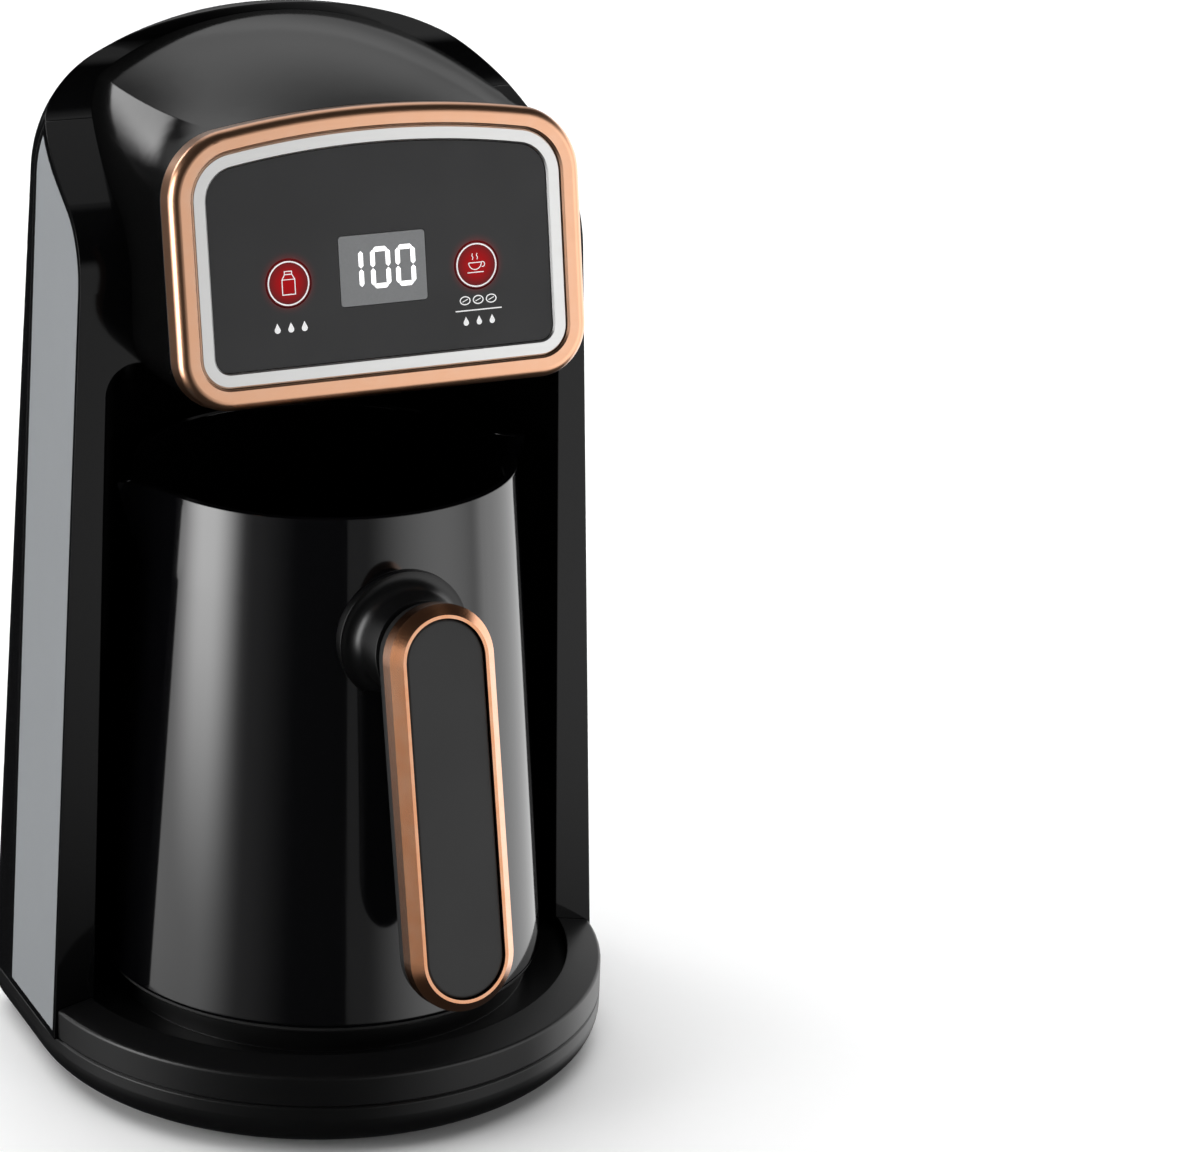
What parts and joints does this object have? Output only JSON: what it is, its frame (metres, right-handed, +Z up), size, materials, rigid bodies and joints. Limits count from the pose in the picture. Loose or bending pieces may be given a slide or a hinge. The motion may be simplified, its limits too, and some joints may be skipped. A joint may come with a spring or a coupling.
{
  "type": "electric coffee pot",
  "caption": "Countertop electric coffee pot: a hooded stand with a slanted key panel over a bay, and a heated pot with a front handle that pulls forward out of the bay.",
  "frame": {"origin": "middle of the bounding box's footprint, on the table under the feet", "axes": "+Z up, -Y to the front where the pot's handle and the key panel face, +X to the viewer's right from the front"},
  "size_m": [0.15, 0.166, 0.2626],
  "materials": {
    "gloss_black": "polished black",
    "pot_black": "gloss black coat",
    "deck_black": "satin black",
    "panel_grey": "satin grey",
    "rose_gold": "rose-gold metallised",
    "silver": "brushed",
    "panel_glass": "satin dark",
    "display_glass": "smoked",
    "matte_black": "matte",
    "clear_guide": "clear",
    "electronics": "moulded",
    "board": "green laminate",
    "rubber": "matte",
    "steel": "plain",
    "brass": "plain"
  },
  "bodies": {
    "stand": {"base_pan": "gloss_black", "rubber_feet": "rubber", "base_screws": "steel", "base_deck": "deck_black", "power_board": "board", "power_board_screws": "steel", "power_relay": "electronics", "transformer": "electronics", "smoothing_capacitor": "electronics", "terminal_block": "electronics", "column_shell": "gloss_black", "back_cover": "gloss_black", "back_screws": "steel", "side_panel_left": "panel_grey", "side_panel_right": "panel_grey", "cord_gland": "rubber", "dock_socket": "matte_black", "dock_contacts": "brass", "wiring_loom": "rubber", "head_shell": "gloss_black", "head_screws": "steel", "head_floor": "matte_black", "sensor_window": "display_glass", "sensor_module": "matte_black", "bezel_frame": "rose_gold", "trim_ring": "silver", "front_panel": "panel_glass", "panel_carrier": "matte_black", "display_window": "display_glass", "display_module": "electronics", "control_board": "board", "control_board_screws": "steel", "board_connector": "electronics", "key_switches": "electronics", "light_guides": "clear_guide", "buzzer": "electronics"},
    "pot": {"pot_vessel": "pot_black", "heater_plate": "steel", "plate_seal": "rubber", "heating_element": "steel", "thermal_cutout": "steel", "temperature_probe": "steel", "pot_base": "matte_black", "pot_base_screws": "steel", "pot_plug": "matte_black", "plug_pins": "brass", "handle_neck": "gloss_black", "handle_core": "matte_black", "handle_frame": "rose_gold", "handle_inlay": "matte_black", "handle_bolt": "steel"},
    "left_key": {"key_left": "panel_glass", "plunger_left": "electronics"},
    "right_key": {"key_right": "panel_glass", "plunger_right": "electronics"}
  },
  "joints": [
    {"name": "pot_pull", "type": "slide", "parent": "stand", "child": "pot", "axis": [0, -1, 0], "range_m": [0, 0.16]},
    {"name": "left_key_press", "type": "slide", "parent": "stand", "child": "left_key", "axis": [0, 0.9842, -0.1771], "range_m": [0, 0.0008], "stiffness_N_per_m": 1500},
    {"name": "right_key_press", "type": "slide", "parent": "stand", "child": "right_key", "axis": [0, 0.9842, -0.1771], "range_m": [0, 0.0008], "stiffness_N_per_m": 1500}
  ]
}
